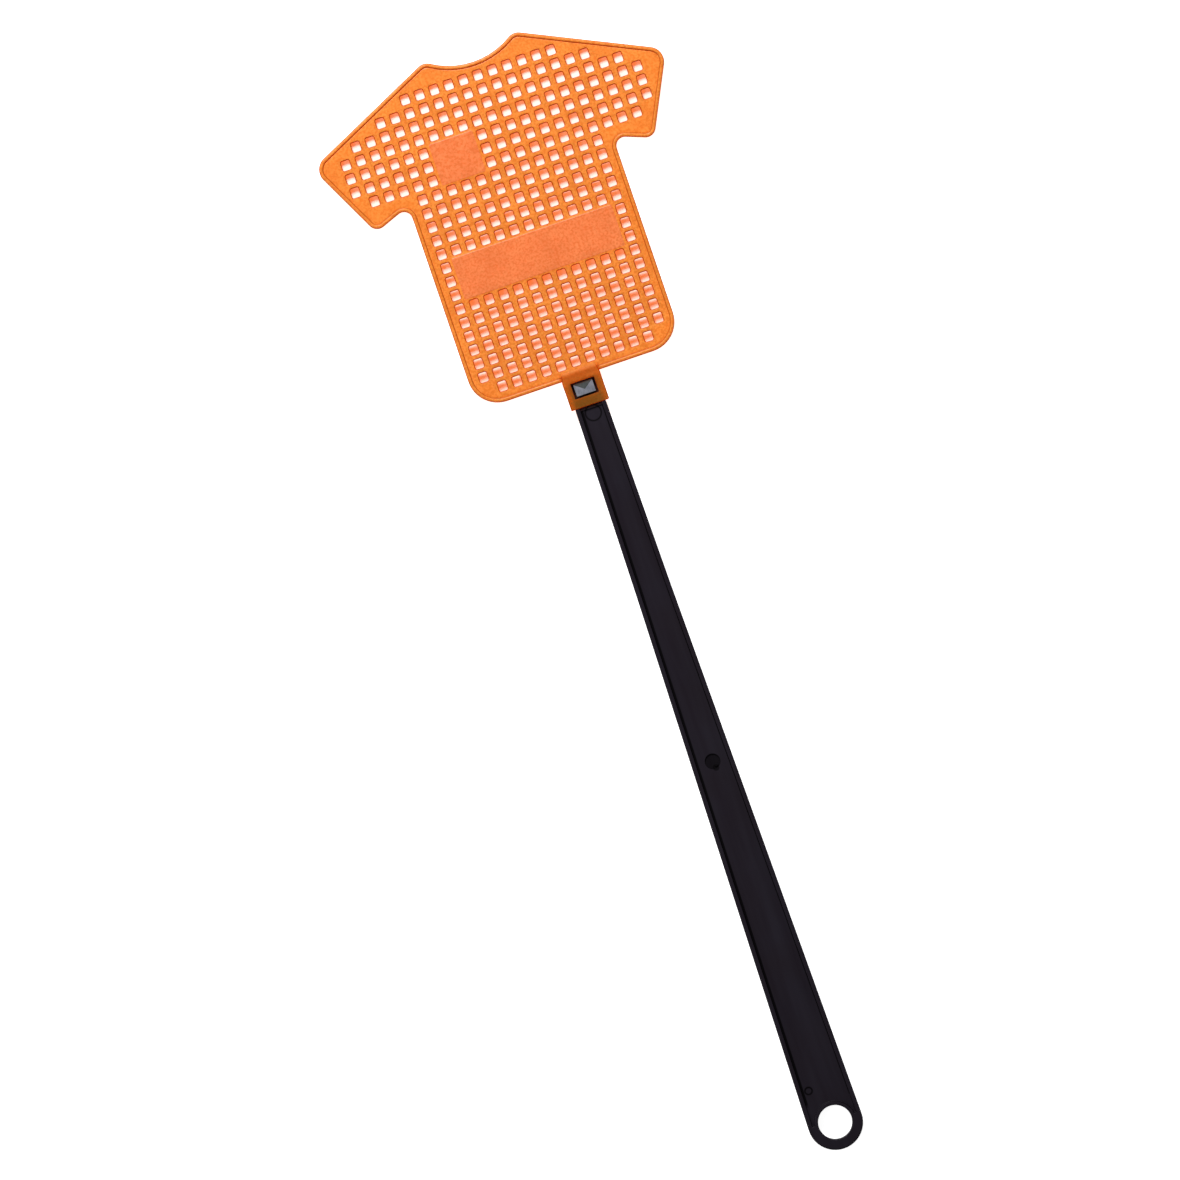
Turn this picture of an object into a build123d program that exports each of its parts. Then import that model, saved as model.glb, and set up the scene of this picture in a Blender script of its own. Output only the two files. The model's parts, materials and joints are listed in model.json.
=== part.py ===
"""Fly swatter: a black stick with a hanging eye, and a shirt-shaped perforated head that snaps onto its tongue.

Frame, in millimetres: the swatter lies on its back. Y runs from the hanging eye to the collar, X runs across,
Z is up, and the origin is on the table under the middle of the swatter.
"""

from build123d import *
import os
from math import acos, asin, atan2, cos, degrees, hypot, sin

os.makedirs("parts", exist_ok=True)

# Overall
LENGTH = 450.0
MID_Z = 2.5  # the shared middle plane of stick, socket and neck

# Stick: an I-section with rails along both edges and a ring round the hanging eye
STICK_THICKNESS = 5.0
STICK_END_RADIUS = 10.8
STICK_KNEE_Y, STICK_KNEE_HALF = 2.9, 7.1  # where the taper changes
STICK_TOP_Y, STICK_TOP_HALF = 79.0, 6.25
RAIL_WIDTH = 1.8
RAIL_ROUND = 0.7
WEB_THICKNESS = 2.0
RECESS_ROUND = 0.3
EYE_RADIUS = 6.65
EYE_RING = 1.5
EYE_ROUND = 0.5
EYE_Y = STICK_END_RADIUS - LENGTH / 2

# Moulding marks in the front of the web: (x, y, radius, depth)
GATE_DIMPLE = (0.2, -66.7, 3.0, 0.5)
PIN_MARKS = ((0.1, 76.0, 3.1, 0.15), (-5.9, -199.5, 1.4, 0.25))
GATE_STUB_RADIUS, GATE_STUB_HEIGHT, GATE_STUB_OFFSET = 0.8, 0.35, (0.9, -1.5)

# Tongue on the stick's top end, with a slot for the catch
TONGUE_HALF, TONGUE_THICKNESS, TONGUE_TIP_Y = 6.05, 2.8, 89.85
TONGUE_CHAMFER = 0.45
SLOT_HALF, SLOT_LOW_Y, SLOT_HIGH_Y = 4.6, 83.05, 88.75

# Catch: a spring finger rooted at the tongue's tip, with a hipped barb that fills the socket's window
CATCH_HALF, CATCH_FREE_Y, CATCH_ROOT_Y = 3.85, 83.8, 88.3
CATCH_THICKNESS = 1.2
CATCH_RUNNING = 0.05
BARB_HEIGHT, BARB_EDGE_HEIGHT = 1.0, 0.02
BARB_RAMP_START, BARB_TOP_Y, BARB_PEAK_Y = 0.06, 88.4, 85.7

# Socket: a flat sleeve that slides over the tongue
SOCKET_HALF, SOCKET_LOW_Y, SOCKET_HIGH_Y, SOCKET_THICKNESS = 7.75, 79.2, 90.9, 5.0
SOCKET_ROUND, SOCKET_NOSE = 0.6, 1.2
CAVITY_HALF, CAVITY_HEIGHT, CAVITY_END_Y = 6.15, 2.96, 89.95
WINDOW_HALF, WINDOW_LOW_Y, WINDOW_HIGH_Y = 4.8, 82.95, 89.25
WINDOW_ROUND = 0.35

# Blade outline, right half, going up from the hem: corner x, corner y, corner radius
HEM_Y = 91.0
SIDE = (41.9, HEM_Y, 12.0)
UNDERARM = (41.9, 174.8, 3.3)
CUFF_LOW = (56.9, 169.1, 4.0)
CUFF_HIGH = (72.4, 200.4, 5.8)
COLLAR = (18.2, 225.95, 5.0)
NECKLINE_Y = 219.8

# Blade section
RIM_WIDTH, RIM_THICKNESS, RIM_ROUND = 2.0, 2.2, 1.0
PLATE_THICKNESS = 1.2
NECK_RADIUS, NECK_PAD_Y = 1.25, 94.6
NECK_Y = HEM_Y + NECK_RADIUS

# Perforation: the reach is the last column each way from the middle one, row by row from the hem up
PITCH_X, PITCH_Y = 5.96, 5.58
HOLE_X, HOLE_Y, HOLE_ROUND = 3.6, 4.0, 0.7
FIRST_ROW_Y = 97.1
ROW_REACH = [5] + 14 * [6] + [9] + 3 * [10] + [9, 7, 5]
PLAIN_BAND = (range(-5, 6), range(7, 10))  # columns, rows with no holes
PLAIN_POCKET = (range(-4, -1), range(15, 18))

# The blade droops from the neck until the collar rests on the table
DROOP_DEG = degrees(asin((MID_Z - RIM_THICKNESS / 2 - 0.02) / (LENGTH / 2 - NECK_Y)))


def block(half_x, low_y, high_y, low_z, high_z):
    """A box centred on X."""
    shape = Box(2 * half_x, high_y - low_y, high_z - low_z)
    return Pos(0, (low_y + high_y) / 2, (low_z + high_z) / 2) * shape


def prism(face, low_z, high_z):
    """A flat face in XY, extruded between two heights."""
    return extrude(Pos(0, 0, low_z) * face, high_z - low_z)


def round_flat_edges(solid, radius, z, chosen):
    """Rounds those edges of a solid that lie at height z, where chosen(middle of the edge) is true."""
    level = solid.edges().filter_by_position(Axis.Z, z - 0.001, z + 0.001)
    return solid.fillet(radius, level.filter_by(lambda edge: chosen(edge @ 0.5)))


def stick_outline(inset=0.0):
    """The stick seen from the front, moved in by inset: two tapers each side, tangent to the round end."""
    radius = STICK_END_RADIUS - inset
    knee_x, top_x = STICK_KNEE_HALF - inset, STICK_TOP_HALF - inset
    away = hypot(knee_x, STICK_KNEE_Y - EYE_Y)
    tangent = atan2(STICK_KNEE_Y - EYE_Y, knee_x) - acos(radius / away)
    end_x, end_y = radius * cos(tangent), EYE_Y + radius * sin(tangent)
    right = Polyline((end_x, end_y), (knee_x, STICK_KNEE_Y), (top_x, STICK_TOP_Y))
    top = Line((top_x, STICK_TOP_Y), (-top_x, STICK_TOP_Y))
    left = Polyline((-top_x, STICK_TOP_Y), (-knee_x, STICK_KNEE_Y), (-end_x, end_y))
    end = ThreePointArc((-end_x, end_y), (0, EYE_Y - radius), (end_x, end_y))
    return make_face(right + top + left + end)


def web_recess():
    """The area between the rails, above the hanging eye's ring, and open at the stick's top end."""
    keep = Pos(0, (EYE_Y + STICK_TOP_Y) / 2 + 1) * Rectangle(4 * STICK_END_RADIUS, STICK_TOP_Y - EYE_Y)
    ring = Pos(0, EYE_Y) * Circle(EYE_RADIUS + EYE_RING)
    return (stick_outline(RAIL_WIDTH) & keep) - ring


def cut_recess(body, floor_z, crest_z):
    """Cuts one side's recess, and rounds its floor and the rails' inner edges."""
    pocket = prism(web_recess(), min(floor_z, crest_z), max(floor_z, crest_z))
    body -= pocket
    for z in (floor_z, crest_z):
        body = round_flat_edges(body, RECESS_ROUND, z, lambda middle: on_wall(pocket, middle))
    return body


def on_wall(pocket, point):
    return pocket.distance_to(point) < 0.001 and point.Y < STICK_TOP_Y - 0.001


def tongue():
    low_z, high_z = MID_Z - TONGUE_THICKNESS / 2, MID_Z + TONGUE_THICKNESS / 2
    bar = block(TONGUE_HALF, STICK_TOP_Y - 1, TONGUE_TIP_Y, low_z, high_z)
    bar = chamfer(bar.faces().sort_by(Axis.Y)[-1].edges(), TONGUE_CHAMFER)
    bar -= block(SLOT_HALF, SLOT_LOW_Y, SLOT_HIGH_Y, 0, STICK_THICKNESS)
    groove = Cylinder(CATCH_THICKNESS / 2 + CATCH_RUNNING, 2 * SLOT_HALF)
    return bar - Pos(0, CATCH_ROOT_Y, catch_mid_z()) * Rot(0, 90, 0) * groove


def handle():
    body = prism(stick_outline(), 0, STICK_THICKNESS)
    for z in (0, STICK_THICKNESS):
        body = round_flat_edges(body, RAIL_ROUND, z, lambda middle: middle.Y < STICK_TOP_Y - 0.001)
    depth = (STICK_THICKNESS - WEB_THICKNESS) / 2
    front_z = STICK_THICKNESS - depth
    body = cut_recess(body, front_z, STICK_THICKNESS)
    body = cut_recess(body, depth, 0)
    eye = Pos(0, EYE_Y, MID_Z) * Cylinder(EYE_RADIUS, 2 * STICK_THICKNESS)
    body -= eye
    at_eye = body.edges().filter_by(GeomType.CIRCLE)
    at_eye = at_eye.filter_by(lambda e: abs(e.radius - EYE_RADIUS) < 0.01)
    body = fillet(at_eye, EYE_ROUND)
    for x, y, radius, sink in (GATE_DIMPLE, *PIN_MARKS):
        body -= Pos(x, y, front_z) * Cylinder(radius, 2 * sink)
    stub_x, stub_y = GATE_DIMPLE[0] + GATE_STUB_OFFSET[0], GATE_DIMPLE[1] + GATE_STUB_OFFSET[1]
    stub = Pos(stub_x, stub_y, front_z - GATE_DIMPLE[3]) * Cylinder(GATE_STUB_RADIUS, 2 * GATE_STUB_HEIGHT)
    return body + stub + tongue()


def catch_mid_z():
    return MID_Z + TONGUE_THICKNESS / 2 - CATCH_THICKNESS / 2


def barb():
    """A low hip roof: a ramp up from the tongue's tip, two side slopes, and an upright face that locks."""
    base_z = MID_Z + TONGUE_THICKNESS / 2
    roof = block(CATCH_HALF, CATCH_FREE_Y, BARB_TOP_Y, base_z - CATCH_THICKNESS / 2, base_z + BARB_HEIGHT)
    ramp = degrees(atan2(BARB_HEIGHT - BARB_RAMP_START, BARB_TOP_Y - BARB_PEAK_Y))
    ramp_foot = (0, BARB_TOP_Y, base_z + BARB_RAMP_START)
    roof = split(roof, Plane(ramp_foot).rotated((-ramp, 0, 0)), keep=Keep.BOTTOM)
    side = degrees(atan2(BARB_HEIGHT - BARB_EDGE_HEIGHT, CATCH_HALF))
    for way in (1, -1):
        edge = (way * CATCH_HALF, 0, base_z + BARB_EDGE_HEIGHT)
        roof = split(roof, Plane(edge).rotated((0, way * side, 0)), keep=Keep.BOTTOM)
    return roof


def latch():
    low_z, high_z = catch_mid_z() - CATCH_THICKNESS / 2, catch_mid_z() + CATCH_THICKNESS / 2
    finger = block(CATCH_HALF, CATCH_FREE_Y, CATCH_ROOT_Y, low_z, high_z)
    root = Pos(0, CATCH_ROOT_Y, catch_mid_z()) * Rot(0, 90, 0) * Cylinder(CATCH_THICKNESS / 2, 2 * CATCH_HALF)
    return finger + root + barb()


def head_socket():
    body = block(SOCKET_HALF, SOCKET_LOW_Y, SOCKET_HIGH_Y, 0, SOCKET_THICKNESS)
    nose = body.faces().sort_by(Axis.Y)[-1].edges().filter_by(Axis.X)
    body = chamfer(nose, SOCKET_NOSE)
    long_edges = body.edges().filter_by(Axis.Y)
    body = fillet(long_edges, SOCKET_ROUND)
    half = CAVITY_HEIGHT / 2
    body -= block(CAVITY_HALF, SOCKET_LOW_Y - 1, CAVITY_END_Y, MID_Z - half, MID_Z + half)
    window = Pos(0, (WINDOW_LOW_Y + WINDOW_HIGH_Y) / 2) * RectangleRounded(
        2 * WINDOW_HALF, WINDOW_HIGH_Y - WINDOW_LOW_Y, WINDOW_ROUND
    )
    return body - prism(window, MID_Z, SOCKET_THICKNESS + 1)


def blade_outline():
    corners = (SIDE, UNDERARM, CUFF_LOW, CUFF_HIGH, COLLAR)
    right = [(x, y) for x, y, _ in corners]
    left = [(-x, y) for x, y in right]
    neckline = ThreePointArc(left[-1], (0, NECKLINE_Y), right[-1])
    face = make_face(Polyline(*left[::-1], *right) + neckline)
    for x, y, radius in corners:
        at = [v for v in face.vertices() if abs(abs(v.X) - x) < 0.01 and abs(v.Y - y) < 0.01]
        face = fillet(at, radius)
    return face


def hole_centres():
    """Every hole's middle, with the plain band and the plain pocket left out."""
    for row, reach in enumerate(ROW_REACH):
        for column in range(-reach, reach + 1):
            plain = any(column in columns and row in rows for columns, rows in (PLAIN_BAND, PLAIN_POCKET))
            if not plain:
                yield column * PITCH_X, FIRST_ROW_Y + row * PITCH_Y


def head_blade():
    outline = blade_outline()
    inner = offset(outline, -RIM_WIDTH)
    half_rim, half_plate = RIM_THICKNESS / 2, PLATE_THICKNESS / 2
    rim = prism(outline, -half_rim, half_rim)
    for z in (-half_rim, half_rim):
        rim = round_flat_edges(rim, RIM_ROUND, z, lambda middle: True)
    rim -= prism(inner, -half_rim, half_rim)
    hole = RectangleRounded(HOLE_X, HOLE_Y, HOLE_ROUND).face().outer_wire()
    holes = [hole.moved(Location((x, y, 0))) for x, y in hole_centres()]
    under_rim = offset(outline, -RIM_WIDTH / 2).face().outer_wire()
    plate = prism(Face(under_rim, holes), -half_plate, half_plate)
    pad = block(SOCKET_HALF, NECK_Y, NECK_PAD_Y, -NECK_RADIUS, NECK_RADIUS)
    root = Pos(0, NECK_Y) * Rot(0, 90, 0) * Cylinder(NECK_RADIUS, 2 * SOCKET_HALF)
    blade = Pos(0, 0, MID_Z) * (rim + plate + pad + root)
    return blade.rotate(Axis((0, NECK_Y, MID_Z), (1, 0, 0)), -DROOP_DEG)


def main():
    for make in (handle, latch, head_socket, head_blade):
        shape = make()
        export_step(shape, f"parts/{make.__name__}.step")
        box = shape.bounding_box()
        print(make.__name__, len(shape.solids()), "solid", round(shape.volume, 1), "mm3", box.min, box.max)
    print("droop", round(DROOP_DEG, 3), "degrees; neck at y", NECK_Y)


main()
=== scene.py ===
"""Looks of the fly swatter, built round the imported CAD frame.

The swatter lies on its back on pale paper. Y runs from the hanging eye to the collar, X across and Z up,
in metres. The head is one moulding: a sleeve that runs up into a perforated, shirt-shaped blade with a
raised rim.
"""

import json
import math

import bmesh
import bpy
from mathutils import Matrix, Vector
from mathutils.geometry import delaunay_2d_cdt


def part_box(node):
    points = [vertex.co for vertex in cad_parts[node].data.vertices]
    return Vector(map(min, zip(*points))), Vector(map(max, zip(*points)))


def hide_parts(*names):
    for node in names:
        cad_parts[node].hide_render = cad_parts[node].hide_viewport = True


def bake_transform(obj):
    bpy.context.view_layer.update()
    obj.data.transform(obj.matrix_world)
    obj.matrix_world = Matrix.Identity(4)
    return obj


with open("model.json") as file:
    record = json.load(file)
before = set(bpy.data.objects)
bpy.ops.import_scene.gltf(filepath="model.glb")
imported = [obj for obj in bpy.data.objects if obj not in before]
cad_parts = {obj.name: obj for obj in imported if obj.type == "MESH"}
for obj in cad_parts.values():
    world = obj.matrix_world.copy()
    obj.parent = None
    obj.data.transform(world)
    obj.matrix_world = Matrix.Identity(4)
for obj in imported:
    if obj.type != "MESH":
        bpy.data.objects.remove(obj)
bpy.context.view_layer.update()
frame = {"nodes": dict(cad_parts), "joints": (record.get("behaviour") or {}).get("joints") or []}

MM = 0.001

# Places read from the frame
BLADE_LOW, BLADE_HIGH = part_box("head_blade")
SOCKET_LOW, SOCKET_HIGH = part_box("head_socket")
JOINTS = {joint["name"]: joint for joint in frame["joints"]}
NECK = Vector(JOINTS["blade_flex"]["pos_m"])
HEM_Y = BLADE_LOW.y
TIP_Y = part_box("handle")[1].y

# Blade outline, right half, going up from the hem: (x, height above the hem, corner radius).
# The line runs in steps of at most ARC_STEP round its arcs and of about LINE_STEP between them.
CORNERS = (
    (41.9 * MM, 0.0, 12.0 * MM),
    (41.9 * MM, 83.8 * MM, 3.3 * MM),
    (56.9 * MM, 78.1 * MM, 4.0 * MM),
    (72.4 * MM, 109.4 * MM, 5.8 * MM),
)
COLLAR_X, COLLAR_UP, COLLAR_R = 18.2 * MM, 134.95 * MM, 5.0 * MM
NECKLINE_UP = 128.8 * MM
ARC_STEP = math.radians(7.5)
LINE_STEP = 5 * MM
SAME_POINT = 0.1 * MM

# Blade section, from the edge inwards: (distance in, height above the middle), in millimetres
RIM_SECTION = (
    (0.0, 0.0),
    (0.03, 0.38),
    (0.14, 0.68),
    (0.32, 0.9),
    (0.58, 1.04),
    (0.9, 1.1),
    (1.2, 1.07),
    (1.42, 0.98),
    (1.56, 0.82),
    (1.66, 0.58),
    (1.8, 0.5),
    (1.95, 0.55),
    (2.1, 0.6),
)
RIM_HALF = 1.1 * MM
PLATE_HALF = 0.6 * MM

# The drooping collar stays this far above the table
REST_GAP = 0.02 * MM

# Perforation: the reach is the last column each way from the middle one, row by row from the hem up
PITCH_X, PITCH_Y = 5.96 * MM, 5.58 * MM
HOLE_X, HOLE_Y, HOLE_ROUND = 3.6 * MM, 4.0 * MM, 0.7 * MM
FIRST_ROW_UP = 6.1 * MM
ROW_REACH = [5] + 14 * [6] + [9] + 3 * [10] + [9, 7, 5]
# The hole's wall, from the front face down: (growth, depth), in millimetres
HOLE_SECTION = ((0.3, 0.0), (0.2, 0.06), (-0.12, 0.5))

# Plain panels: (first and last column, first and last row) of the cells that they cover
BAND = ((-5, 5), (7, 9))
POCKET = ((-4, -2), (15, 17))
PANEL_RISE, PANEL_EDGE, PANEL_ROUND = 0.12 * MM, 0.25 * MM, 0.5 * MM
# The panel's edge has one point between foot and top: share of the way in, share of the way up
PANEL_SHOULDER = (0.6, 0.8)

# Sleeve: a bar with rounded edges and a rounded mouth. From the tip of the tongue on it is a gusset, which
# thins and narrows until it ends in the blade, GUSSET_LENGTH past the hem.
SLEEVE_ROUND, MOUTH_ROUND, MOUTH_STEPS = 0.6 * MM, 0.35 * MM, 3
GUSSET_LENGTH, GUSSET_NARROWS, GUSSET_STEPS = 3.6 * MM, 0.7 * MM, 12
GUSSET_END_HALF = 0.8 * PLATE_HALF
CAVITY_HALF_X, CAVITY_HALF_Z, CAVITY_PAST_TIP = 6.15 * MM, 1.48 * MM, 0.1 * MM
CAVITY_ROUND, CAVITY_LEAD = 0.3 * MM, 0.3 * MM
WINDOW_HALF_X, WINDOW_HALF_Y, WINDOW_UP, WINDOW_ROUND = 4.8 * MM, 3.15 * MM, 6.9 * MM, 0.35 * MM
WINDOW_FLARE, WINDOW_OVERCUT = 0.25 * MM, 0.1 * MM

# Meshes: points on each round corner of a rectangle, and the angle from which an edge stays hard
CORNER_POINTS = 4
HARD_EDGE = math.radians(40)

# Stick marks: (x, y, radius) of the dark gate mark and of the pins' rings. A gate mark's edge fades over
# MARK_BLUR. A ring is dark up to RING_CORE beside its circle and gone at RING_FADE.
GATE_MARKS = ((0.2 * MM, -66.7 * MM, 3.0 * MM), (0.7 * MM, -69.4 * MM, 1.2 * MM))
PIN_MARKS = ((0.1 * MM, 76.0 * MM, 3.1 * MM), (-5.9 * MM, -199.5 * MM, 1.4 * MM))
MARK_BLUR, RING_CORE, RING_FADE = 0.15 * MM, 0.15 * MM, 0.45 * MM

# The stick's half width, as (y, half width) at the eye, at the knee and at the top, and its rails
STICK_WIDTHS = ((-214.2 * MM, 10.8 * MM), (2.9 * MM, 7.1 * MM), (79.0 * MM, 6.25 * MM))
RAIL_WIDTH, WEB_TOP, WEB_BLUR = 1.8 * MM, 3.5 * MM, 0.2 * MM
# The painted rail shadow reaches this far into the web from the left rail and the right rail, and stops
# short of the eye
RAIL_SHADOW_LEFT, RAIL_SHADOW_RIGHT, RAIL_SHADOW_BLUR = 1.0 * MM, 0.3 * MM, 0.1 * MM
RAIL_SHADOW_END_Y = (-206 * MM, -204 * MM)

# Colours, as linear light: each plastic has a light and a deep tone that its clouds and flecks mix
HEAD_ORANGE, HEAD_DEEP = (0.88, 0.4, 0.07, 1), (0.64, 0.2, 0.014, 1)
PANEL_ORANGE, PANEL_DEEP = (0.81, 0.34, 0.12, 1), (0.62, 0.17, 0.03, 1)
# Painted shade: the sleeve's browner tones, for its thick wall with the black tongue inside
SLEEVE_SHADE_ORANGE, SLEEVE_SHADE_DEEP = (0.79, 0.38, 0.05, 1), (0.67, 0.27, 0.02, 1)
# Painted shade for the head's walls and edges
PAINTED_EDGE_SHADE = (0.42, 0.06, 0.002, 1)
# Painted shade for the sleeve's inside, which is the head's orange but hardly lit
CAVITY_SHADE_ORANGE, CAVITY_SHADE_DEEP = (0.05, 0.014, 0.004, 1), (0.03, 0.008, 0.002, 1)
# What a lamp's light keeps on its way through the blade and through the sleeve
LAMP_ORANGE, LAMP_BROWN = (0.68, 0.34, 0.05, 1), (0.84, 0.4, 0.12, 1)
BLACK_LOW, BLACK_HIGH = (0.011, 0.0085, 0.013, 1), (0.0148, 0.0125, 0.0185, 1)
# The darkest black serves the marks and also the painted shade on the stick's walls and beside its rails
BLACK_WARM, BLACK_MARK_AND_SHADE = (0.011, 0.0075, 0.01, 1), (0.001, 0.0006, 0.001, 1)
CATCH_PALE, CATCH_DULL = (0.19, 0.195, 0.23, 1), (0.11, 0.12, 0.145, 1)
# Painted shade for the catch: on the facet that faces the head, and on its walls
CATCH_SHADED, CATCH_WALL_SHADE = (0.02, 0.025, 0.025, 1), (0.012, 0.012, 0.014, 1)

# Where the sleeve's browner look, which is painted shade, fades out into the blade, along Y and to each side
SLEEVE_FADE_Y, SLEEVE_FADE_X = (92.4 * MM, 94.8 * MM), (7.8 * MM, 8.4 * MM)

# The point attribute that keeps where each point of the head is at rest
REST_PLACE = "rest_place"

# Paper: two sheets, the upper one only under the blade and just inside its outline, with a painted warm cast
PAPER_WHITE, PAPER_PAINTED_WARM_CAST = (0.9, 0.9, 0.9, 1), (0.9, 0.76, 0.7, 1)
FLOOR_REACH, SHEET_GAP, UNDER_INSET = 4.0, 0.05 * MM, 0.4 * MM

# Light
ROOM_LIGHT, FLOOR_GLOW, HEAD_LAMP, LEFT_LAMP = 0.2, 0.9, 36.0, 2.0

# Camera: the swatter leans this far clockwise in the frame, which is VIEW_WIDTH wide
LEAN = math.radians(18.85)
CAMERA_X, CAMERA_Y, CAMERA_HEIGHT = -23.3 * MM, 11.4 * MM, 3.0
VIEW_WIDTH, SENSOR_WIDTH_MM = 457.4 * MM, 36.0


def corner_arc(before, corner, after, radius):
    """A rounded corner on a path that keeps the blade on its left.

    An arc is (centre, radius, side, start angle, sweep). Side is 1 on an outer corner, -1 on an inner one.
    """
    into, out = (corner - before).normalized(), (after - corner).normalized()
    sweep = math.atan2(into.cross(out), into.dot(out))
    side = math.copysign(1, sweep)
    start = corner - into * radius * math.tan(abs(sweep) / 2)
    away = Vector((into.y, -into.x)) * side
    return start - away * radius, radius, side, math.atan2(away.y, away.x), sweep


def collar_arcs(shoulder):
    """The round collar tip, from the shoulder line into the neckline, and the right half of the neckline."""
    tip, low = Vector((COLLAR_X, HEM_Y + COLLAR_UP)), Vector((0, HEM_Y + NECKLINE_UP))
    sag = tip.y - low.y
    neck_radius = (COLLAR_X**2 + sag**2) / (2 * sag)
    neck_centre = low + Vector((0, neck_radius))
    along = (tip - shoulder).normalized()
    away = Vector((along.y, -along.x))
    start = tip - away * COLLAR_R - neck_centre
    reach = start.dot(along)
    travel = -reach - math.sqrt(reach**2 - start.length_squared + (neck_radius + COLLAR_R) ** 2)
    centre = neck_centre + start + along * travel
    to_neck = neck_centre - centre
    first, last = math.atan2(away.y, away.x), math.atan2(to_neck.y, to_neck.x)
    neck_start = last - math.pi
    tip_arc = (centre, COLLAR_R, 1, first, last - first)
    neck_arc = (neck_centre, neck_radius, -1, neck_start, -math.pi / 2 - neck_start)
    return [tip_arc, neck_arc]


def blade_arcs():
    """Every rounded stretch of the right half, from the hem up to the middle of the neckline."""
    path = [Vector((0, HEM_Y))] + [Vector((x, HEM_Y + up)) for x, up, _ in CORNERS]
    path.append(Vector((COLLAR_X, HEM_Y + COLLAR_UP)))
    radii = [radius for _, _, radius in CORNERS]
    bends = [corner_arc(*path[i : i + 3], radius) for i, radius in enumerate(radii)]
    return bends + collar_arcs(path[-2])


def arc_points(arc, inset):
    """The points of an arc that is moved in by inset."""
    centre, radius, side, first, sweep = arc
    count = math.ceil(abs(sweep) / ARC_STEP)
    reach = radius - side * inset
    angles = [first + sweep * i / count for i in range(count + 1)]
    return [centre + reach * Vector((math.cos(a), math.sin(a))) for a in angles]


def blade_outline(inset):
    """The blade's outline moved in by inset, anticlockwise. Every inset gives the same number of points."""
    arcs = blade_arcs()
    at_edge = [[Vector((0, HEM_Y))]] + [arc_points(arc, 0) for arc in arcs]
    moved = [[Vector((0, HEM_Y + inset))]] + [arc_points(arc, inset) for arc in arcs]
    half = list(moved[0])
    for k in range(len(arcs)):
        gap = (at_edge[k + 1][0] - at_edge[k][-1]).length
        steps = round(gap / LINE_STEP)
        half += [moved[k][-1].lerp(moved[k + 1][0], i / steps) for i in range(1, steps)]
        half += moved[k + 1] if gap > SAME_POINT else moved[k + 1][1:]
    return half + [Vector((-p.x, p.y)) for p in half[-2:0:-1]]


def rounded_rectangle(half_x, half_y, radius, centre=(0, 0)):
    """A rectangle with round corners, anticlockwise, as 2-D points."""
    points = []
    for quarter in range(4):
        sign_x = 1 if quarter in (0, 3) else -1
        sign_y = 1 if quarter in (0, 1) else -1
        middle = Vector((sign_x * (half_x - radius), sign_y * (half_y - radius)))
        for i in range(CORNER_POINTS):
            angle = math.pi / 2 * (quarter + i / (CORNER_POINTS - 1))
            offset = radius * Vector((math.cos(angle), math.sin(angle)))
            points.append(Vector(centre) + middle + offset)
    return points


class Shell:
    """Collects a mesh's points and faces. A ring is a closed loop of points at one height."""

    def __init__(self):
        self.points, self.faces, self.slots = [], [], []

    def add(self, points):
        """Takes points in and gives their numbers."""
        first = len(self.points)
        self.points += [tuple(p) for p in points]
        return list(range(first, len(self.points)))

    def ring(self, outline, z):
        return self.add((p.x, p.y, z) for p in outline)

    def face(self, corners, slot=0):
        self.faces.append(tuple(corners))
        self.slots.append(slot)

    def bridge(self, ring_a, ring_b, slot=0):
        """Four-sided faces between two rings of the same length."""
        for i in range(len(ring_a)):
            j = (i + 1) % len(ring_a)
            self.face((ring_a[i], ring_a[j], ring_b[j], ring_b[i]), slot)

    def stack(self, rings, slot=0):
        """Faces from each ring to the next."""
        for ring_a, ring_b in zip(rings, rings[1:]):
            self.bridge(ring_a, ring_b, slot)

    def solid(self, rings):
        """A stack of rings that is closed at both ends."""
        self.stack(rings)
        self.face(rings[0])
        self.face(rings[-1])

    def make(self, name, materials):
        """The mesh as an object, with its faces turned outwards."""
        mesh = bpy.data.meshes.new(name)
        mesh.from_pydata(self.points, [], self.faces)
        for material in materials:
            mesh.materials.append(material)
        mesh.polygons.foreach_set("material_index", self.slots)
        made = bmesh.new()
        made.from_mesh(mesh)
        bmesh.ops.recalc_face_normals(made, faces=made.faces)
        made.to_mesh(mesh)
        made.free()
        piece = bpy.data.objects.new(name, mesh)
        bpy.context.scene.collection.objects.link(piece)
        return piece


def cell(column, row):
    """The middle of a cell of the perforation. Column 0 is the middle one, row 0 the one at the hem."""
    return Vector((column * PITCH_X, HEM_Y + FIRST_ROW_UP + row * PITCH_Y))


def in_panel(column, row, margin=0.0):
    """Whether a plain panel, grown by margin cells, covers this cell."""
    return any(
        abs(column - (column_a + column_b) / 2) <= (column_b - column_a) / 2 + margin
        and abs(row - (row_a + row_b) / 2) <= (row_b - row_a) / 2 + margin
        for (column_a, column_b), (row_a, row_b) in (BAND, POCKET)
    )


def hole_centres():
    """The middle of every hole."""
    for row, reach in enumerate(ROW_REACH):
        for column in range(-reach, reach + 1):
            if not in_panel(column, row):
                yield cell(column, row)


def panel_outline(panel, inset):
    """The outline of a plain panel, which fills the cells that it covers, moved in by inset."""
    (column_a, column_b), (row_a, row_b) = panel
    low = cell(column_a - 0.5, row_a - 0.5)
    high = cell(column_b + 0.5, row_b + 0.5)
    half = (high - low) / 2 - Vector((inset, inset))
    return rounded_rectangle(half.x, half.y, PANEL_ROUND, (low + high) / 2)


def rib_crossings():
    """Where two ribs cross away from the panels: a point there keeps the plate's triangles even."""
    reach = max(ROW_REACH) + 1
    for row in range(-1, len(ROW_REACH) + 1):
        for column in range(-reach, reach + 1):
            if not in_panel(column - 0.5, row - 0.5, 0.5):
                yield cell(column - 0.5, row - 0.5)


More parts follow.
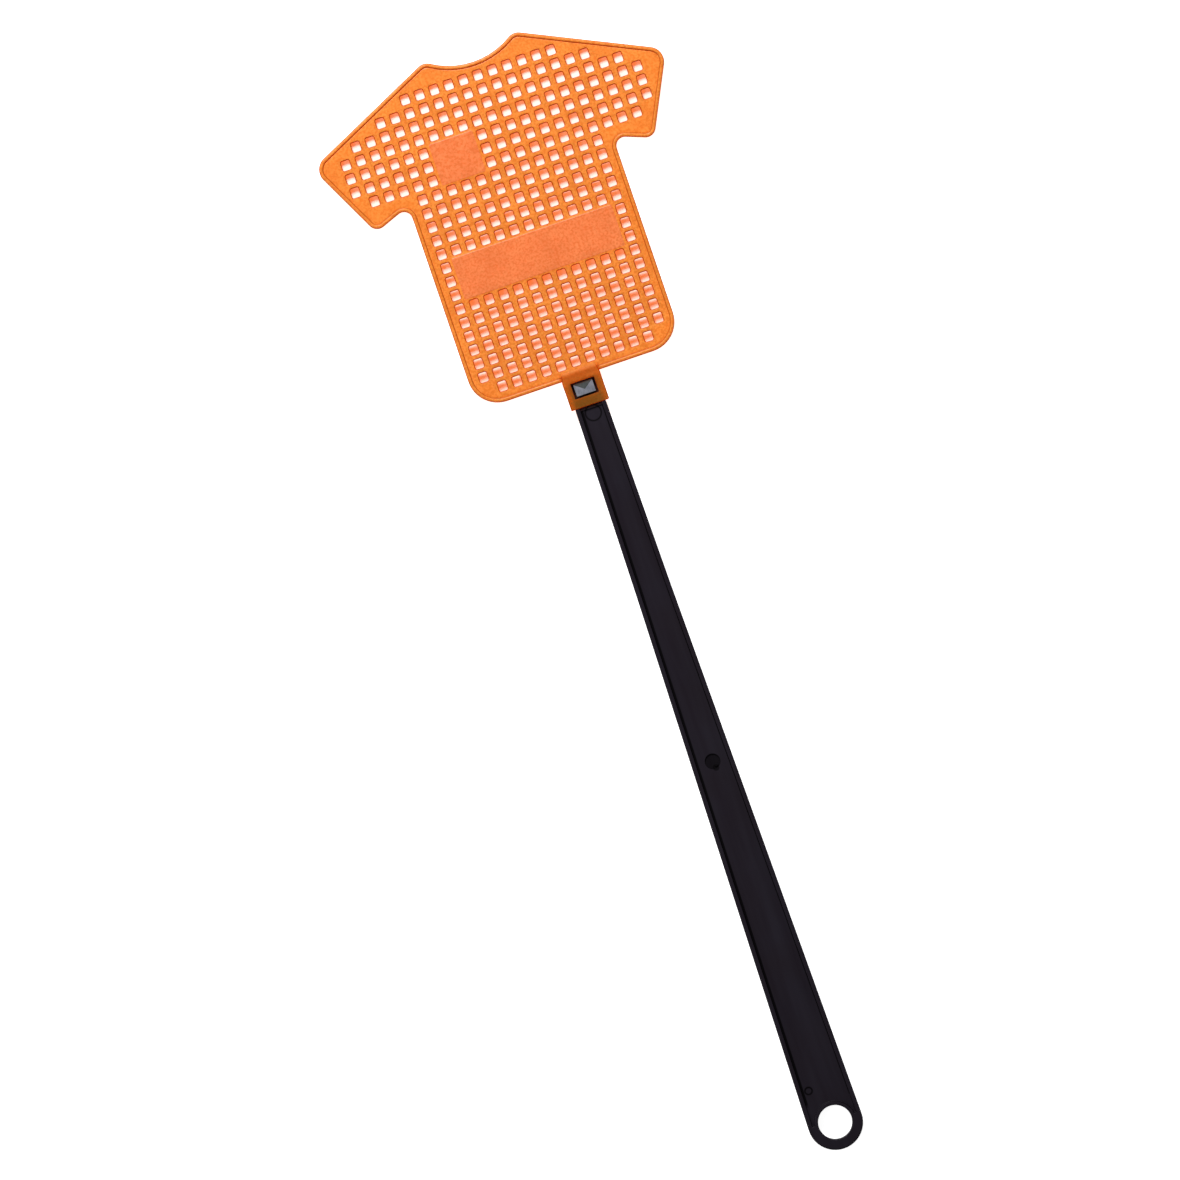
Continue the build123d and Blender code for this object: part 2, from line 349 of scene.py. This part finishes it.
def triangulate(outer, cut_outs, loose):
    """Triangles over the area inside outer and outside every cut-out.

    Their corners are indices into the points of outer, then of the cut-outs, then the loose ones.
    """
    points, loops = [], []
    for loop in [outer, *cut_outs]:
        loops.append(list(range(len(points), len(points) + len(loop))))
        points += loop
    points += loose
    inside_loops_only, tolerance = 1, 1e-9
    result = delaunay_2d_cdt(points, [], loops, inside_loops_only, tolerance)
    triangles, came_from, inside = result[2], result[3], result[5]
    # A triangle of the plate lies inside loop 0, the outer one, and no other
    return [
        [came_from[corner][0] for corner in triangle]
        for triangle, around in zip(triangles, inside)
        if list(around) == [0]
    ]


def blade_shell():
    """The flat blade round its middle plane: rim, plate, holes and the two raised panels."""
    shell = Shell()
    sections = [(inset * MM, z * MM) for inset, z in RIM_SECTION]
    front = [shell.ring(blade_outline(inset), z) for inset, z in sections]
    back = [front[0]] + [shell.ring(blade_outline(inset), -z) for inset, z in sections[1:]]
    shell.stack(front)
    shell.stack(back)

    growths = [(growth * MM, PLATE_HALF - depth * MM) for growth, depth in HOLE_SECTION]
    levels = growths + [(growth, -z) for growth, z in reversed(growths)]
    hole_rings = []
    for centre in hole_centres():
        loops = [
            (rounded_rectangle(HOLE_X / 2 + g, HOLE_Y / 2 + g, HOLE_ROUND + g, centre), z)
            for g, z in levels
        ]
        rings = [shell.ring(loop, z) for loop, z in loops]
        shell.stack(rings)
        hole_rings.append((rings[0], rings[-1], loops[0][0]))

    panel_rings = []
    way_in, way_up = PANEL_SHOULDER
    for panel in (BAND, POCKET):
        foot = panel_outline(panel, 0)
        front_foot, back_foot = shell.ring(foot, PLATE_HALF), shell.ring(foot, -PLATE_HALF)
        edge = shell.ring(panel_outline(panel, PANEL_EDGE * way_in), PLATE_HALF + PANEL_RISE * way_up)
        top = shell.ring(panel_outline(panel, PANEL_EDGE), PLATE_HALF + PANEL_RISE)
        shell.stack([front_foot, edge, top], 1)
        shell.face(top, 1)
        shell.face(back_foot)
        panel_rings.append((front_foot, back_foot, foot))

    crossings = list(rib_crossings())
    cut_outs = hole_rings + panel_rings
    plate = triangulate(blade_outline(sections[-1][0]), [loop for _, _, loop in cut_outs], crossings)
    for side, outer in ((0, front[-1]), (1, back[-1])):
        z = PLATE_HALF * (1 - 2 * side)
        numbers = list(outer)
        for rings in cut_outs:
            numbers += rings[side]
        numbers += shell.add((p.x, p.y, z) for p in crossings)
        for triangle in plate:
            shell.face(numbers[corner] for corner in triangle)
    return shell


def droop():
    """The angle by which the blade droops from the neck until its collar rests on the table."""
    drop = NECK.z - RIM_HALF - REST_GAP
    return math.asin(drop / (BLADE_HIGH.y - NECK.y))


def smooth(t):
    """Goes from 0 to 1 as t does, and starts and ends level."""
    return t * t * (3 - 2 * t)


def sleeve_shell():
    """The solid that the sleeve is cut from: a flat bar with rounded edges that thins out into the hem."""
    half_x = (SOCKET_HIGH.x - SOCKET_LOW.x) / 2
    half_z = (SOCKET_HIGH.z - SOCKET_LOW.z) / 2
    sections = []
    for i in range(MOUTH_STEPS + 1):
        angle = math.pi / 2 * i / MOUTH_STEPS
        shrink = MOUTH_ROUND * (1 - math.sin(angle))
        y = SOCKET_LOW.y + MOUTH_ROUND * (1 - math.cos(angle))
        sections.append((y, half_x - shrink, half_z - shrink))
    end_y = HEM_Y + GUSSET_LENGTH
    for i in range(GUSSET_STEPS + 1):
        share = i / GUSSET_STEPS
        thin = half_z + (GUSSET_END_HALF - half_z) * smooth(share)
        narrow = half_x - GUSSET_NARROWS * smooth(share)
        sections.append((TIP_Y + (end_y - TIP_Y) * share, narrow, thin))
    shell, rings = Shell(), []
    for y, wide, thick in sections:
        # Near its end the gusset is too thin for the full round
        radius = min(SLEEVE_ROUND, thick * 0.9)
        loop = rounded_rectangle(wide, thick, radius)
        rings.append(shell.add((p.x, y, NECK.z + p.y) for p in loop))
    shell.solid(rings)
    return shell


def cavity_shell():
    """The flat hole that the tongue fills, with a small lead-in at its mouth."""
    shell, rings = Shell(), []
    mouth_y, lead = SOCKET_LOW.y, CAVITY_LEAD
    stops = ((mouth_y - lead, 2 * lead), (mouth_y + lead, 0), (TIP_Y + CAVITY_PAST_TIP, 0))
    for y, growth in stops:
        loop = rounded_rectangle(CAVITY_HALF_X + growth, CAVITY_HALF_Z + growth, CAVITY_ROUND)
        rings.append(shell.add((p.x, y, NECK.z + p.y) for p in loop))
    shell.solid(rings)
    return shell


def window_shell():
    """The catch's window in the front wall, with a flared edge."""
    shell, rings = Shell(), []
    top, over = SOCKET_HIGH.z, WINDOW_OVERCUT
    stops = ((NECK.z, 0), (top - WINDOW_FLARE, 0), (top + over, WINDOW_FLARE + over))
    for z, growth in stops:
        loop = rounded_rectangle(
            WINDOW_HALF_X + growth,
            WINDOW_HALF_Y + growth,
            WINDOW_ROUND + growth,
            (0, SOCKET_LOW.y + WINDOW_UP),
        )
        rings.append(shell.ring(loop, z))
    shell.solid(rings)
    return shell


def combine(piece, other, operation):
    """Joins other to piece, or cuts it away, and drops other."""
    modifier = piece.modifiers.new("combine", "BOOLEAN")
    modifier.operation = operation
    modifier.solver = "EXACT"
    modifier.material_mode = "TRANSFER"
    modifier.object = other
    bpy.context.view_layer.update()
    evaluated = piece.evaluated_get(bpy.context.evaluated_depsgraph_get())
    mesh = bpy.data.meshes.new_from_object(evaluated)
    piece.modifiers.remove(modifier)
    piece.data = mesh
    bpy.data.objects.remove(other)


def shade(piece):
    """Smooth shading that keeps flat faces flat and hard creases hard."""
    mesh = piece.data
    mesh.polygons.foreach_set("use_smooth", [True] * len(mesh.polygons))
    mesh.set_sharp_from_angle(angle=HARD_EDGE)
    weighted = piece.modifiers.new("flat faces", "WEIGHTED_NORMAL")
    weighted.keep_sharp = True


def remember_rest(piece):
    """Stores where each point is at rest, so that the plastic's pattern keeps its place when it bends."""
    mesh = piece.data
    rest = mesh.attributes.new(REST_PLACE, "FLOAT_VECTOR", "POINT")
    rest.data.foreach_set("vector", [x for point in mesh.vertices for x in point.co])


def swatter_head(plastic, panel_plastic, inside_painted_shade):
    """The head in one piece, drooping from the neck, in place of the bodies socket and blade."""
    blade = blade_shell().make("swatter_head", (plastic, panel_plastic))
    turned = Matrix.Rotation(-droop(), 4, "X")
    blade.data.transform(Matrix.Translation(NECK) @ turned @ Matrix.Translation(Vector((0, -NECK.y, 0))))
    sleeve = sleeve_shell().make("sleeve", (plastic,))
    # The cavity's walls take the painted shade of the sleeve's inside
    combine(sleeve, cavity_shell().make("cavity", (inside_painted_shade,)), "DIFFERENCE")
    combine(sleeve, window_shell().make("window", (plastic,)), "DIFFERENCE")
    combine(blade, sleeve, "UNION")
    shade(blade)
    remember_rest(blade)
    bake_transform(blade)
    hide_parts("head_socket", "head_blade")


class Nodes:
    """Short calls for building a material's node tree.

    Patterns follow the piece's own place, or the place that a stored attribute gives.
    """

    def __init__(self, name, stored_place=None):
        self.material = bpy.data.materials.new(name)
        self.material.use_nodes = True
        self.tree = self.material.node_tree
        self.tree.nodes.clear()
        self.output = self.tree.nodes.new("ShaderNodeOutputMaterial")
        if stored_place:
            source = self.tree.nodes.new("ShaderNodeAttribute")
            source.attribute_name = stored_place
            self.spot = source.outputs["Vector"]
        else:
            self.spot = self.tree.nodes.new("ShaderNodeTexCoord").outputs["Object"]

    def feed(self, socket, value):
        """Gives a socket its value: a link from another node's output, or a fixed one."""
        if isinstance(value, bpy.types.NodeSocket):
            self.tree.links.new(value, socket)
        else:
            socket.default_value = value

    def add(self, kind, **inputs):
        node = self.tree.nodes.new("ShaderNode" + kind)
        for name, value in inputs.items():
            self.feed(node.inputs[name.replace("_", " ")], value)
        return node

    def place(self, scale):
        """The position on the piece, stretched by scale along each axis."""
        return self.add("Mapping", Scale=scale, Vector=self.spot).outputs["Vector"]

    def noise(self, scale, stretch=(1, 1, 1), detail=3.0):
        """Soft noise round 0.5, with about scale waves in a metre."""
        texture = self.add("TexNoise", Vector=self.place(stretch), Scale=scale, Detail=detail)
        return texture.outputs["Fac"]

    def spread(self, value, low, high, start=0.3, end=0.7):
        """Maps the value from start..end to low..high."""
        remap = self.add("MapRange", Value=value, From_Min=start, From_Max=end, To_Min=low, To_Max=high)
        return remap.outputs["Result"]

    def blend(self, share, colour_a, colour_b):
        """Colour a where the share is 0, colour b where it is 1."""
        node = self.tree.nodes.new("ShaderNodeMix")
        node.data_type = "RGBA"
        sockets = {(s.name, s.type): s for s in node.inputs}
        self.feed(sockets["Factor", "VALUE"], share)
        self.feed(sockets["A", "RGBA"], colour_a)
        self.feed(sockets["B", "RGBA"], colour_b)
        return next(s for s in node.outputs if s.type == "RGBA")

    def bump(self, height, distance, strength):
        return self.add("Bump", Height=height, Distance=distance, Strength=strength).outputs["Normal"]

    def mix(self, share, shader_a, shader_b):
        """Shader a where the share is 0, shader b where it is 1."""
        node = self.tree.nodes.new("ShaderNodeMixShader")
        for socket, value in zip(node.inputs, (share, shader_a, shader_b)):
            self.feed(socket, value)
        return node.outputs["Shader"]

    def maths(self, operation, first, second=0.0):
        node = self.tree.nodes.new("ShaderNodeMath")
        node.operation = operation
        self.feed(node.inputs[0], first)
        self.feed(node.inputs[1], second)
        return node.outputs["Value"]

    def axis(self, vector, name):
        return self.add("SeparateXYZ", Vector=vector).outputs[name]

    def facing(self, name):
        """One part, X, Y or Z, of the direction that the surface faces."""
        return self.axis(self.add("TexCoord").outputs["Normal"], name)

    def steep(self, wall=0.35, flat=0.85):
        """0 on level faces, 1 on walls. Wall and flat say how far up the surface faces at either end."""
        return self.spread(self.maths("ABSOLUTE", self.facing("Z")), 1.0, 0.0, wall, flat)

    def distance(self, x, y):
        """How far the surface is from an upright line through x, y."""
        node = self.tree.nodes.new("ShaderNodeVectorMath")
        node.operation = "DISTANCE"
        self.feed(node.inputs[0], self.place((1, 1, 0)))
        self.feed(node.inputs[1], (x, y, 0))
        return node.outputs["Value"]

    def skin(self, colour, roughness, gloss, **inputs):
        """A plastic surface. The gloss is its specular level."""
        shader = self.add("BsdfPrincipled", Base_Color=colour, Roughness=roughness, IOR=1.5, **inputs)
        shader.inputs["Specular IOR Level"].default_value = gloss
        return shader.outputs["BSDF"]

    def finish(self, shader):
        self.tree.links.new(shader, self.output.inputs["Surface"])
        return self.material


def sleeve_share(nodes):
    """1 on the sleeve, fading to 0 where it runs out into the blade."""
    aside = nodes.maths("ABSOLUTE", nodes.axis(nodes.spot, "X"))
    near_middle = nodes.spread(aside, 1.0, 0.0, *SLEEVE_FADE_X)
    near_stick = nodes.spread(nodes.axis(nodes.spot, "Y"), 1.0, 0.0, *SLEEVE_FADE_Y)
    return nodes.maths("MULTIPLY", near_middle, near_stick)


def head_plastic(name, colour, deep):
    """Soft orange polyethylene. Light goes through it, so its shadow is orange. Its walls get a painted
    shade.

    On the sleeve it is painted browner, as shade from its thick wall and from the black tongue inside it.
    """
    nodes = Nodes(name, REST_PLACE)
    cloud = nodes.noise(120.0, detail=4.0)
    fleck = nodes.noise(1100.0)
    grain = nodes.noise(2600.0, detail=2.0)
    on_sleeve = sleeve_share(nodes)
    # Painted shade: browner tones on the sleeve
    light = nodes.blend(on_sleeve, colour, SLEEVE_SHADE_ORANGE)
    dark = nodes.blend(on_sleeve, deep, SLEEVE_SHADE_DEEP)
    clouded = nodes.blend(nodes.spread(cloud, 0.0, 0.45), light, dark)
    mottled = nodes.blend(nodes.spread(fleck, 0.0, 0.7, 0.4, 0.62), clouded, dark)
    # Painted shade: steep faces, such as the rim's edges and the holes' sides, turn a deep orange
    tint = nodes.blend(nodes.maths("MULTIPLY", nodes.steep(0.5, 0.95), 0.95), mottled, PAINTED_EDGE_SHADE)
    rough = nodes.maths("ADD", nodes.spread(cloud, 0.34, 0.42), nodes.maths("MULTIPLY", on_sleeve, 0.4))
    normal = nodes.bump(grain, 0.03 * MM, 0.4)
    skin = nodes.skin(tint, rough, 0.35, Normal=normal)
    through = nodes.add("BsdfTranslucent", Color=tint, Normal=normal)
    glow = nodes.spread(on_sleeve, 0.45, 0.85, 0.0, 1.0)
    body = nodes.mix(glow, skin, through.outputs["BSDF"])
    lamp_side = nodes.add("BsdfTransparent", Color=nodes.blend(on_sleeve, LAMP_ORANGE, LAMP_BROWN))
    is_shadow = nodes.add("LightPath").outputs["Is Shadow Ray"]
    return nodes.finish(nodes.mix(is_shadow, body, lamp_side.outputs["BSDF"]))


def cavity_painted_shade():
    """The sleeve's inside, painted near black as shade, since hardly any light reaches it."""
    nodes = Nodes("cavity painted shade")
    cloud = nodes.noise(400.0)
    tint = nodes.blend(nodes.spread(cloud, 0.0, 1.0), CAVITY_SHADE_ORANGE, CAVITY_SHADE_DEEP)
    return nodes.finish(nodes.skin(tint, 0.6, 0.1))


def painted_rail_shadows(nodes):
    """1 on the two narrow strips of the web beside the rails, where a shadow of the rails is painted."""
    across, along = nodes.axis(nodes.spot, "X"), nodes.axis(nodes.spot, "Y")
    (eye_y, eye_half), (knee_y, knee_half), (top_y, top_half) = STICK_WIDTHS
    lower = nodes.spread(along, eye_half, knee_half, eye_y, knee_y)
    upper = nodes.spread(along, knee_half, top_half, knee_y, top_y)
    half_web = nodes.maths("SUBTRACT", nodes.maths("ADD", lower, upper), knee_half + RAIL_WIDTH)
    from_left = nodes.maths("ADD", across, half_web)
    from_right = nodes.maths("SUBTRACT", half_web, across)
    left = nodes.spread(from_left, 1.0, 0.0, RAIL_SHADOW_LEFT - RAIL_SHADOW_BLUR, RAIL_SHADOW_LEFT + RAIL_SHADOW_BLUR)
    right = nodes.spread(from_right, 1.0, 0.0, RAIL_SHADOW_RIGHT - RAIL_SHADOW_BLUR, RAIL_SHADOW_RIGHT + RAIL_SHADOW_BLUR)
    on_web = nodes.spread(nodes.axis(nodes.spot, "Z"), 1.0, 0.0, WEB_TOP + RAIL_SHADOW_BLUR, WEB_TOP + WEB_BLUR)
    clear_of_eye = nodes.spread(along, 0.0, 1.0, *RAIL_SHADOW_END_Y)
    strips = nodes.maths("MULTIPLY", nodes.maths("MAXIMUM", left, right), on_web)
    return nodes.maths("MULTIPLY", strips, clear_of_eye)


def stick_plastic():
    """Near-black violet satin plastic, faint flow lines along the stick, darker marks, painted shade on
    walls and by rails.
    """
    nodes = Nodes("stick black")
    flow = nodes.noise(260.0, stretch=(1, 0.08, 1))
    cloud = nodes.noise(45.0)
    grain = nodes.noise(3200.0, detail=2.0)
    streaks = nodes.blend(nodes.spread(flow, 0.0, 1.0), BLACK_LOW, BLACK_HIGH)
    tint = nodes.blend(nodes.spread(cloud, 0.0, 0.5), streaks, BLACK_WARM)
    # Painted shadow of the rails on the web
    tint = nodes.blend(nodes.maths("MULTIPLY", painted_rail_shadows(nodes), 0.95), tint, BLACK_MARK_AND_SHADE)
    for x, y, radius in GATE_MARKS:
        inside = nodes.spread(nodes.distance(x, y), 0.7, 0.0, radius, radius + MARK_BLUR)
        tint = nodes.blend(inside, tint, BLACK_MARK_AND_SHADE)
    for x, y, radius in PIN_MARKS:
        off = nodes.maths("ABSOLUTE", nodes.maths("SUBTRACT", nodes.distance(x, y), radius))
        tint = nodes.blend(nodes.spread(off, 0.9, 0.0, RING_CORE, RING_FADE), tint, BLACK_MARK_AND_SHADE)
    # Painted shade: the stick's walls are darkened
    tint = nodes.blend(nodes.maths("MULTIPLY", nodes.steep(), 0.9), tint, BLACK_MARK_AND_SHADE)
    normal = nodes.bump(grain, 0.03 * MM, 0.35)
    return nodes.finish(nodes.skin(tint, nodes.spread(flow, 0.42, 0.52), 0.05, Normal=normal))


def catch_plastic():
    """Bluish-grey plastic with a hard gloss and fine scuffs, with painted shade on its walls and on the
    facet to the head.
    """
    nodes = Nodes("catch grey")
    cloud = nodes.noise(500.0)
    scuffs = nodes.noise(1800.0, stretch=(1, 0.15, 1))
    pale = nodes.blend(nodes.spread(cloud, 0.0, 1.0), CATCH_PALE, CATCH_DULL)
    # Painted shade on faces that turn towards the head, which also get rougher
    to_head = nodes.spread(nodes.facing("Y"), 0.0, 1.0, 0.1, 0.3)
    shaded = nodes.blend(to_head, pale, CATCH_SHADED)
    tint = nodes.blend(nodes.steep(), shaded, CATCH_WALL_SHADE)
    rough = nodes.maths("ADD", nodes.spread(scuffs, 0.2, 0.36), nodes.maths("MULTIPLY", to_head, 0.45))
    normal = nodes.bump(scuffs, 0.02 * MM, 0.3)
    return nodes.finish(nodes.skin(tint, rough, 0.3, Normal=normal))


def paper(name, colour, glow):
    """Matt paper. The glow is light from below, which keeps it white in the swatter's shadow."""
    nodes = Nodes(name)
    white = (1, 1, 1, 1)
    return nodes.finish(nodes.skin(colour, 1.0, 0.0, Emission_Color=white, Emission_Strength=glow))


def wear(node_name, material):
    """Gives a carried-over CAD node its material."""
    mesh = frame["nodes"][node_name].data
    mesh.materials.clear()
    mesh.materials.append(material)


def sheet(name, outline, z, material):
    """A staged flat sheet of paper."""
    shell = Shell()
    shell.face(shell.ring(outline, z))
    shell.make(name, (material,))


def floor():
    """Paper with a glow beside the swatter, and a sheet without glow under the blade, with a painted warm
    cast, in its holes.
    """
    white = paper("white paper", PAPER_WHITE, FLOOR_GLOW)
    # Painted light: the sheet under the blade is tinted as if by orange light come through the plastic
    shaded = paper("shaded paper", PAPER_PAINTED_WARM_CAST, 0.0)
    square = [FLOOR_REACH * Vector(corner) for corner in ((1, 1), (-1, 1), (-1, -1), (1, -1))]
    sheet("paper_floor", square, -2 * SHEET_GAP, white)
    sheet("paper_under_blade", blade_outline(UNDER_INSET), -SHEET_GAP, shaded)


def soft_world():
    """Even white light from all round."""
    world = bpy.data.worlds.new("soft room")
    bpy.context.scene.world = world
    world.use_nodes = True
    background = world.node_tree.nodes["Background"]
    background.inputs["Color"].default_value = (1, 1, 1, 1)
    background.inputs["Strength"].default_value = ROOM_LIGHT


def lamp(name, place, target, size, power):
    """A round, soft lamp that faces its target."""
    light = bpy.data.lights.new(name, "AREA")
    light.shape = "DISK"
    light.size = size
    light.energy = power
    holder = bpy.data.objects.new(name, light)
    bpy.context.scene.collection.objects.link(holder)
    holder.location = place
    holder.rotation_euler = (Vector(target) - Vector(place)).to_track_quat("-Z", "Y").to_euler()


def camera():
    """Straight down from far off, turned so that the swatter leans in the frame."""
    lens = bpy.data.cameras.new("camera")
    view = bpy.data.objects.new("camera", lens)
    bpy.context.scene.collection.objects.link(view)
    bpy.context.scene.camera = view
    lens.sensor_width = SENSOR_WIDTH_MM
    lens.lens = SENSOR_WIDTH_MM * CAMERA_HEIGHT / VIEW_WIDTH
    view.location = (CAMERA_X, CAMERA_Y, CAMERA_HEIGHT)
    view.rotation_euler = (0, 0, -LEAN)


swatter_head(
    head_plastic("head orange", HEAD_ORANGE, HEAD_DEEP),
    head_plastic("panel orange", PANEL_ORANGE, PANEL_DEEP),
    cavity_painted_shade(),
)
wear("handle", stick_plastic())
wear("latch", catch_plastic())
floor()
soft_world()
lamp("head_side_lamp", (-0.06, 1.22, 1.0), (0, 0.1, 0), 0.55, HEAD_LAMP)
lamp("left_lamp", (-0.85, -0.05, 0.95), (0, -0.08, 0), 0.35, LEFT_LAMP)
camera()
bpy.context.scene.view_settings.view_transform = "Standard"
